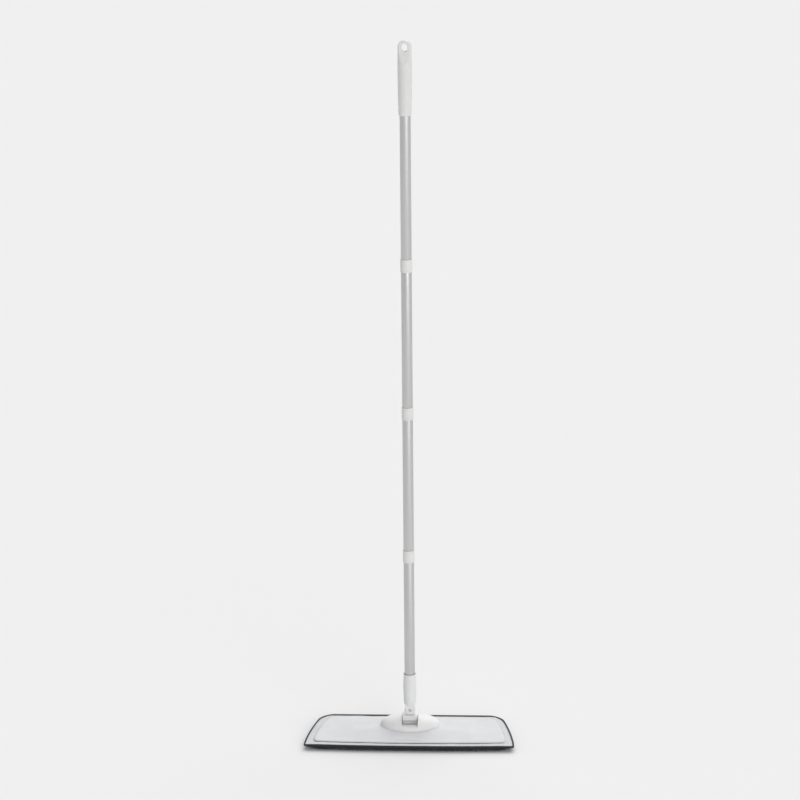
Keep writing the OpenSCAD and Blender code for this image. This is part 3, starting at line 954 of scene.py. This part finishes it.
def pivot_housing():
    """The dome, hollow over the plate, with its slot and channel."""
    power = 2 / 2.62
    half = HOUSING_W / 2
    rise = HOUSING_TOP - MOUND_Z
    outline = [(0, HOUSING_SEAT, 0), (half, HOUSING_SEAT, 0)]
    for number in range(25):
        angle = math.pi / 2 * number / 24
        share = max(math.cos(angle), 0) ** power
        outline.append((half * share if number < 24 else 0, MOUND_Z + rise * math.sin(angle) ** power, 0))
    dome = turned(outline, 160)
    bmesh.ops.scale(dome, verts=dome.verts, vec=(1, HOUSING_D / HOUSING_W, 1))
    form = as_object("moulded_housing", dome)
    cut_by(form, [
        block((-CHEEK_X, -SLOT_Y, 10), (CHEEK_X, SLOT_Y, 60), 0),
        block((-CHEEK_X, -40, CHANNEL_Z), (CHEEK_X, 40, 60), 0),
        rod("X", (0, 0, PITCH_Z), PIN_R + 0.02, 20.5),
    ])
    softened(form, 0.6, 6)
    return dressed(form, "head", "housing_plastic", ["pivot_housing"], 0)


pivot_housing()

# %% [markdown]
# ## Outline of the head
# Seen from above, the front edge bows out a little and the sides draw in towards the back.
# The plate, the pad, its tape and its backing all follow that outline, each at its own size.
# The corners are rounded by a vertex bevel, and the rim is then walked in even steps.

# %% Outline helper
SIDE_POWER = 1.6


def head_face(wide, deep, taper, bow, front_r, back_r, inset=0.0):
    """A flat face with the head's outline, with rounded corners."""
    part = bmesh.new()
    half = wide / 2
    front = [(x / 4 * half, -deep / 2 + bow * (x / 4) ** 2) for x in range(-4, 5)]
    right = [
        (half - taper * share ** SIDE_POWER, -deep / 2 + bow + (deep - bow) * share)
        for share in (0.15, 0.3, 0.45, 0.6, 0.72, 1.0)
    ]
    left = [(-x, y) for x, y in reversed(right)]
    points = [part.verts.new((x, y, 0)) for x, y in front + right + left]
    part.faces.new(points)
    last = len(front) + len(right) - 1
    for size, corners in ((front_r, (0, len(front) - 1)), (back_r, (last, last + 1))):
        rounded(part, [points[corner] for corner in corners], "VERTICES", size, 8)
    if inset:
        made = bmesh.ops.inset_region(
            part, faces=part.faces[:], thickness=inset, use_even_offset=True, use_boundary=True
        )
        bmesh.ops.delete(part, geom=made["faces"], context="FACES")
    return part


def head_rim(face_part, step):
    """Even steps round the outline of a face, as (point, inward direction)."""
    face = max(face_part.faces, key=lambda item: item.calc_area())
    corners = [vert.co.copy() for vert in face.verts]
    if face.normal.z < 0:
        corners.reverse()
    face_part.free()
    lengths = [(b - a).length for a, b in zip(corners, corners[1:] + corners[:1])]
    count = round(sum(lengths) / step)
    rim = []
    for number in range(count):
        along = sum(lengths) * number / count
        place = 0
        while along > lengths[place]:
            along -= lengths[place]
            place += 1
        start = corners[place]
        rim.append(start.lerp(corners[(place + 1) % len(corners)], along / lengths[place]))
    found = []
    for number, point in enumerate(rim):
        way = (rim[(number + 1) % count] - rim[number - 1]).normalized()
        found.append((point, Vector((-way.y, way.x, 0))))
    return found


def sliced(part, step_x, step_y):
    """Cuts a flat face into a fine grid of even cells."""
    xs = [vert.co.x for vert in part.verts]
    ys = [vert.co.y for vert in part.verts]
    for spots, step, normal in ((xs, step_x, (1, 0, 0)), (ys, step_y, (0, 1, 0))):
        low, high = min(spots), max(spots)
        count = int((high - low) / step)
        for number in range(1, count):
            spot = low + (high - low) * number / count
            bmesh.ops.bisect_plane(
                part, geom=part.verts[:] + part.edges[:] + part.faces[:], dist=1e-4,
                plane_co=(spot * normal[0], spot * normal[1], 0), plane_no=normal
            )
    return part


# %% [markdown]
# ## Base plate
# The plate is a thin skin that swells to a flat-topped spine along its middle and sinks towards both ends.
# A flat face with the outline is cut into a grid, and each point is raised to the spine's height.
# Its rim is first rolled over by four small insets. Solidify gives it its wall, and ribs stiffen it below.

# %% Base plate
PLATE_Z = 12.0
EDGE_Z = 14.5
SPINE_RISE = 11.0
SPINE_HALF = 20.0
SPINE_REACH = 151.0
SPINE_FOOT = 52.5
LIP_Z = 12.1
EDGE_ROLL = ((0.35, 0.9), (0.75, 0.75), (1.2, 0.5), (1.8, 0.25))
PLATE = (369, 117, 25, 5, 10, 14)


def eased(value, width):
    """A ramp from 0 upwards whose start is rounded over a width."""
    return (value + math.sqrt(value * value + width * width)) / 2


def plate_height(x, y):
    """Height of the plate's top at a place."""
    along = eased(1 - (x / SPINE_REACH) ** 2, 0.06)
    flank = (SPINE_FOOT - abs(y)) / (SPINE_FOOT - SPINE_HALF)
    across = eased(flank, 0.03) - eased(flank - 1, 0.03)
    return EDGE_Z + SPINE_RISE * min(along, 1) * min(max(across, 0), 1)


def base_plate():
    """The skin of the plate with its ribs, posts and screw bosses below."""
    skin = head_face(*PLATE)
    top = skin.faces[:]
    if top[0].normal.z < 0:
        bmesh.ops.reverse_faces(skin, faces=top)
    for inward, up in EDGE_ROLL:
        bmesh.ops.inset_region(
            skin, faces=top, thickness=inward, depth=up, use_even_offset=True, use_boundary=True
        )
    sliced(skin, 4.0, 3.0)
    for vert in skin.verts:
        vert.co.z += LIP_Z + plate_height(vert.co.x, vert.co.y) - EDGE_Z
    form = as_object("moulded_plate", skin)
    wall = form.modifiers.new("wall", "SOLIDIFY")
    wall.thickness = 2.0 * MM
    wall.offset = -1
    applied(form)
    return dressed(form, "head", "plate_plastic", ["base_plate"], 50)


base_plate()


FIN_HALF = 0.9
FIN_REACH = 34
BAND_Y = 17.6
SCREW_PLACE = (38, 15)


def plate_ribs():
    """Fins, posts for the pin and bosses for the screws, under the plate."""
    fins = []
    for number in range(-3, 4):
        x = number * 40
        top = plate_height(x, 0) - 1.2
        if abs(x) > 10 and top > PLATE_Z + 3:
            low_top = min(plate_height(x, FIN_REACH) - 1.2, 18.5)
            low_fin = (x - FIN_HALF, -FIN_REACH, PLATE_Z + 0.6)
            fins.append(block(low_fin, (x + FIN_HALF, FIN_REACH, low_top), 0.3))
            fins.append(block((x - 0.8, -17, PLATE_Z + 0.8), (x + 0.8, 17, top), 0.3))
    for y in (-BAND_Y, BAND_Y):
        fins.append(block((-118, y - FIN_HALF, PLATE_Z + 1), (118, y + FIN_HALF, 17.5), 0.3))
    for side in (-1, 1):
        middle = side * 18
        fins.append(block((middle - 2.4, -2.8, 22), (middle + 2.4, 2.8, PITCH_Z - PIN_R), 0.4))
        for depth in (-SCREW_PLACE[1], SCREW_PLACE[1]):
            boss = [(3.8, 14.6, 0.2), (5.5, 14.6, 0.3), (5.5, 24, 0), (3.8, 24, 0)]
            fins.append(laid(turned(boss, 48), "Z", (side * SCREW_PLACE[0], depth, 0)))
    piece = as_object("plate_ribs", together(fins))
    return dressed(piece, "head", "plate_plastic")


plate_ribs()


def front_bar():
    """A plain raised bar at the foot of the plate's front slope."""
    y = -50.5
    bar = block((-26, y - 0.9, plate_height(0, y) - 0.6), (26, y + 0.9, plate_height(0, y) + 0.55), 0.35)
    piece = as_object("plate_front_bar", bar)
    return dressed(piece, "head", "plate_plastic")


front_bar()

# %% [markdown]
# ## Hook strips
# Two strips of hook tape are welded under the plate, and the pad's looped backing sticks to them.
# One tiny hook is shaped once and then set out in rows, each with a slightly different turn.

# %% Hook strips
HOOK_PITCH = 3.2


def bent_finger(name, radii, length, bends):
    """A five-sided finger, drawn on from its tip bend by bend. A negative length hangs down."""
    part = bmesh.new()
    bmesh.ops.create_cone(
        part, cap_ends=True, segments=5, radius1=radii[0], radius2=radii[1], depth=abs(length)
    )
    bmesh.ops.translate(part, verts=part.verts, vec=(0, 0, length / 2))
    tip = max(part.faces, key=lambda face: face.calc_center_median().z * length)
    for shift, grow in bends:
        moved = bmesh.ops.extrude_face_region(part, geom=[tip])
        verts = [item for item in moved["geom"] if isinstance(item, bmesh.types.BMVert)]
        new_tip = [item for item in moved["geom"] if isinstance(item, bmesh.types.BMFace)][0]
        centre = new_tip.calc_center_median()
        bmesh.ops.scale(part, verts=verts, vec=(grow, grow, 1), space=Matrix.Translation(-centre))
        bmesh.ops.translate(part, verts=verts, vec=shift)
        bmesh.ops.delete(part, geom=[tip], context="FACES_ONLY")
        tip = new_tip
    bmesh.ops.recalc_face_normals(part, faces=part.faces)
    return as_mesh(name, part)


def set_out(template, places):
    """Copies of one small mesh, each at its own matrix."""
    many = bmesh.new()
    for matrix in places:
        copy = template.copy()
        copy.transform(matrix)
        many.from_mesh(copy)
        bpy.data.meshes.remove(copy)
    return many


def hook_strip(node, name):
    """A strip of tape with its rows of hooks."""
    low, high = span(node)
    tape = block((low.x, low.y, high.z - 0.45), (high.x, high.y, high.z + 0.02), 0.15)
    places = []
    columns = int((high.x - low.x - 4) / HOOK_PITCH)
    rows = int((high.y - low.y - 3) / HOOK_PITCH)
    for column in range(columns + 1):
        for row in range(rows + 1):
            spot = Vector((
                low.x + 2 + (high.x - low.x - 4) * column / columns,
                low.y + 1.5 + (high.y - low.y - 3) * row / rows, high.z - 0.44
            ))
            turn = Matrix.Rotation(math.pi * (row % 2) + random.uniform(-0.3, 0.3), 4, "Z")
            places.append(Matrix.Translation(spot) @ turn)
    hook = bent_finger("one_hook", (0.22, 0.16), -0.42, (((0.16, 0, -0.06), 1.6), ((0.12, 0, 0.05), 0.5)))
    piece = as_object(name, together([tape, set_out(hook, places)]))
    bpy.data.meshes.remove(hook)
    return dressed(piece, "head", "hook_nylon", [node])


hook_strip("hook_strip_front", "hook_tape_front")
hook_strip("hook_strip_back", "hook_tape_back")

# %% [markdown]
# ## Housing screws
# The four screws are right as they are in the frame, so they only get their steel finish.
# Every other frame piece gets its finish too, in case one of them is ever shown.

# %% Frame finishes
NODE_FINISH = {
    "grip": "grip_plastic", "tube": "tube_aluminium", "joint": "collar_plastic", "thread": "plug_plastic",
    "foot": "plug_plastic", "neck": "neck_plastic", "cross": "neck_plastic", "roll": "pin_steel",
    "pitch": "pin_steel", "friction": "washer_nylon", "pivot": "housing_plastic", "base": "plate_plastic",
    "housing": "screw_steel", "hook": "hook_nylon", "pad": "pile_microfibre",
}
for node_name, node_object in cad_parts.items():
    wanted = finishes[NODE_FINISH[node_name.split("_")[0]]]
    for material_slot in node_object.material_slots:
        material_slot.material = wanted

# %% [markdown]
# ## Pad body
# The pad is a soft sandwich, thickest in the middle and drawn to thin pinched tips at its corners.
# A plain slab can't look like that, so a slab is inflated as cloth with a little air pressure.
# The movement is capped, its underside stays just above the floor, and its corners are pinched afterwards.

# %% Pad body
PAD = (404.6, 145.8, 26, 5, 4, 24)
PAD_TOP = 9.3
CLOTH_STEPS = 16
PUFF_CAP = 2.2


def puffed(piece):
    """Inflates a closed skin as cloth and applies the result."""
    start = [vert.co.copy() for vert in piece.data.vertices]
    air = piece.modifiers.new("air", "CLOTH")
    air.settings.quality = 5
    air.settings.mass = 0.3
    air.settings.use_pressure = True
    air.settings.uniform_pressure_force = 4
    air.settings.effector_weights.gravity = 0
    air.point_cache.frame_start = 1
    air.point_cache.frame_end = CLOTH_STEPS
    for step in range(1, CLOTH_STEPS + 1):
        scene.frame_set(step)
    applied(piece)
    scene.frame_set(1)
    for vert, origin in zip(piece.data.vertices, start):
        moved = vert.co - origin
        if moved.length > PUFF_CAP * MM:
            vert.co = origin + moved.normalized() * PUFF_CAP * MM
    return piece


def corner_pinch(x, y):
    """1 at a front or back corner of the pad, 0 away from it."""
    best = 0.0
    for corner, reach in (((200, -68), 30.0), ((174, 66), 26.0)):
        away = math.hypot(abs(x) - corner[0], y - corner[1])
        best = max(best, 1 - away / reach)
    return best * best * (3 - 2 * best) if best > 0 else 0.0


def pad_body():
    """The dark puffed body between the backing and the floor."""
    face = head_face(*PAD, inset=2.6)
    rim = [(point.x, point.y) for point, _ in head_rim(face, 4.0)]
    form = as_object("padded_body", prism(rim, 1.6, 8.6))
    softened(form, 4.0, 1)
    puffed(form)
    finer = form.modifiers.new("finer", "SUBSURF")
    finer.levels = 1
    finer.render_levels = 1
    applied(form)
    for vert in form.data.vertices:
        place = vert.co / MM
        ripple = noise.noise(place * 0.06) * 0.5
        pinch = corner_pinch(place.x, place.y)
        place.z = min(max(place.z + ripple, 0.6), PAD_TOP)
        place.z = place.z + (PAD_TOP - 0.8 - place.z) * pinch * 0.72 * (1 - place.z / 12)
        vert.co = place * MM
    dressed(form, "pad", "felt_core", ["pad_core"], 0)
    return form


pad_body()

# %% [markdown]
# ## Pile
# Under and round the body stands a dense dark pile of short soft strands.
# One bent strand is shaped once and set out in thousands, each with its own lean, turn and length.
# On the underside the strands are pressed flat. On the rim they point out and down.

# %% Pile
STRAND_GAP = 4.2
# Each row on the rim: how far in it stands, its height, and how far it points down
RIM_ROWS = ((2.6, 7.4, -0.25), (2.3, 5.6, -0.45), (2.4, 3.8, -0.6), (3.2, 2.2, -0.5))
UNDER_W = 400
UNDER_D = 142


def strand_at(spot, way, thick, long):
    """Where one strand goes: its root, its direction, its thickness and its length."""
    turn = Vector(way).to_track_quat("Z", "X").to_matrix().to_4x4()
    spin = Matrix.Rotation(random.uniform(0, math.tau), 4, "Z")
    return Matrix.Translation(spot) @ turn @ spin @ Matrix.Diagonal((thick, thick, long, 1))


def pile():
    """All the strands, on the rim and on the underside."""
    places = []
    for inset, height, drop in RIM_ROWS:
        for point, inward in head_rim(head_face(*PAD), 1.9):
            spot = point + inward * (inset + random.uniform(-0.3, 0.5))
            pinch = corner_pinch(spot.x, spot.y)
            spot.z = height + random.uniform(-0.5, 0.5)
            spot.z += (PAD_TOP - 1.2 - spot.z) * pinch * 0.8
            lean = Vector([random.uniform(-reach, reach) for reach in (0.35, 0.35, 0.2)])
            lean.z += drop
            size = 0.55 * (1 - 0.45 * pinch)
            long = random.uniform(0.62, 0.9) * (1 - 0.5 * pinch)
            places.append(strand_at(spot, lean - inward, size, long))
    flat = head_face(*PAD, inset=4.0)
    face = max(flat.faces, key=lambda item: item.calc_area())
    columns = int(UNDER_W / STRAND_GAP)
    rows = int(UNDER_D / STRAND_GAP)
    for column in range(columns + 1):
        for row in range(rows + 1):
            spot = Vector((
                UNDER_W * (column / columns - 0.5) + random.uniform(-1, 1),
                UNDER_D * (row / rows - 0.5) + random.uniform(-1, 1), 1.9
            ))
            if not bmesh.geometry.intersect_face_point(face, (spot.x, spot.y, 0)):
                continue
            pinch = corner_pinch(spot.x, spot.y)
            spot.z += 5.2 * pinch
            way = (random.uniform(-1, 1), random.uniform(-1, 1), -0.42)
            places.append(strand_at(spot, way, 0.85, random.uniform(0.8, 1.15)))
    flat.free()
    strand = bent_finger("one_strand", (1.0, 0.9), 1.0, (((0.12, 0, 0.8), 0.92), ((0.2, 0, 0.55), 0.5)))
    many = set_out(strand, places)
    bpy.data.meshes.remove(strand)
    for vert in many.verts:
        vert.co.z = max(vert.co.z, 0.05)
    print("strands", len(places))
    return dressed(as_object("pile_strands", many), "pad", "pile_microfibre", ["pad_pile"], 0)


pile()

# %% [markdown]
# ## Backing
# The top of the pad is a pale looped cloth, laid flat, whose rim dips to meet the tape.
# It is a flat face with the pad's outline, cut into a fine grid and rippled a little where nothing holds it.
# Just beside the plate it bulges up, because the plate presses it down.
# Solidify then gives the cloth its thickness.

# %% Backing
BACKING_TOP = 10.9
CUSHION = 0.9


def beside_plate(x, y):
    """0 under the plate, 1 just beside its edge, and 0 again further out."""
    wide, deep, taper, bow = PLATE[:4]
    share = min(max((y + deep / 2 - bow) / (deep - bow), 0), 1)
    side = abs(x) - (wide / 2 - taper * share ** SIDE_POWER)
    front = -y - deep / 2 + bow * (2 * x / wide) ** 2
    out = max(side, front, y - deep / 2)
    return min(max(out / 1.6, 0), 1) * min(max(1.5 - out / 7, 0), 1)


def backing():
    """The pale looped sheet on top of the pad."""
    face = head_face(*PAD, inset=2.2)
    area = max(item.calc_area() for item in face.faces) * MM * MM
    sheet = sliced(face, 4.0, 2.4)
    for vert in sheet.verts:
        x, y = vert.co.x, vert.co.y
        under_plate = abs(x) < 170 and abs(y) < 50
        free = 0.0 if under_plate else 1.0
        ripple = noise.noise(Vector((x * 0.045, y * 0.07, 3))) * 0.55 * free
        vert.co.z = BACKING_TOP - 0.25 * free + ripple - 0.25 + CUSHION * beside_plate(x, y)
    form = as_object("looped_backing", sheet)
    wall = form.modifiers.new("wall", "SOLIDIFY")
    wall.thickness = 0.9 * MM
    wall.offset = -1
    applied(form)
    dressed(form, "pad", "backing_fabric", ["pad_backing"], 50)
    return form


backing()

# %% [markdown]
# ## Edge tape
# A dark tape is folded over the pad's rim and sewn down, and at the corners it is pulled to a point.
# Its folded section is carried round the outline ring by ring, and the last ring is joined to the first.
# Then short stitches follow the tape on its upper side.

# %% Edge tape
# The folded section as (distance in from the rim, height), over the top, round the edge and back under
TAPE = (
    (3.4, 10.55), (3.5, 11.05), (2.2, 11.3), (0.9, 11.1), (0.1, 10.2), (0.0, 9.0),
    (0.5, 7.9), (1.8, 7.5), (1.9, 8.0), (1.6, 9.4), (2.6, 10.3)
)
TAPE_TOP = 11.3


def edge_tape():
    """The folded tape round the rim."""
    rim = head_rim(head_face(*PAD), 2.0)
    part = bmesh.new()
    rings = []
    for number, (point, inward) in enumerate(rim):
        pull = corner_pinch(point.x, point.y)
        swell = 0.18 * noise.noise(point * 0.11)
        ring = []
        for deep, height in TAPE:
            back = min(max((point.y - 40) / 28, 0), 1)
            spot = point + inward * (deep * (1 + 0.5 * back) + swell)
            thin = 1 - 0.25 * pull
            spot.z = TAPE_TOP + 0.3 - (TAPE_TOP - height) * thin + swell * 0.6 - 0.5 * pull + 0.5 * back
            ring.append(part.verts.new(spot))
        rings.append([part.edges.new(pair) for pair in zip(ring, ring[1:] + ring[:1])])
    for here, after in zip(rings, rings[1:] + rings[:1]):
        bmesh.ops.bridge_loops(part, edges=here + after)
    bmesh.ops.recalc_face_normals(part, faces=part.faces)
    piece = as_object("folded_edge_tape", part)
    return dressed(piece, "pad", "binding_tape", ["pad_binding"], 60)


edge_tape()


def stitches():
    """Short slanted stitches along the tape."""
    part = bmesh.new()
    bmesh.ops.create_uvsphere(part, u_segments=6, v_segments=4, radius=1)
    stitch = as_mesh("one_stitch", part)
    places = []
    for point, inward in head_rim(head_face(*PAD), 3.2):
        pull = corner_pinch(point.x, point.y)
        spot = point + inward * 2.6
        spot.z = TAPE_TOP - 0.02 - 0.45 * pull
        along = Vector((-inward.y, inward.x, 0)) + inward * 0.25
        turn = along.to_track_quat("X", "Z").to_matrix().to_4x4()
        places.append(Matrix.Translation(spot) @ turn @ Matrix.Diagonal((1.05, 0.24, 0.2, 1)))
    many = set_out(stitch, places)
    bpy.data.meshes.remove(stitch)
    print("stitches", len(places))
    return dressed(as_object("tape_stitches", many), "pad", "stitch_thread", (), 0)


stitches()

# %% [markdown]
# ## Last look at the size
# The box of the dressed mop is printed, to set beside the frame's box; cloth may stand a little proud of it.
# The dressed mop has to stay in the frame's box, apart from the little that cloth may stand proud.

# %% Size and finish
seen_low, seen_high = [list(corner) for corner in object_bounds()]
print("dressed box in metres", seen_low, seen_high)
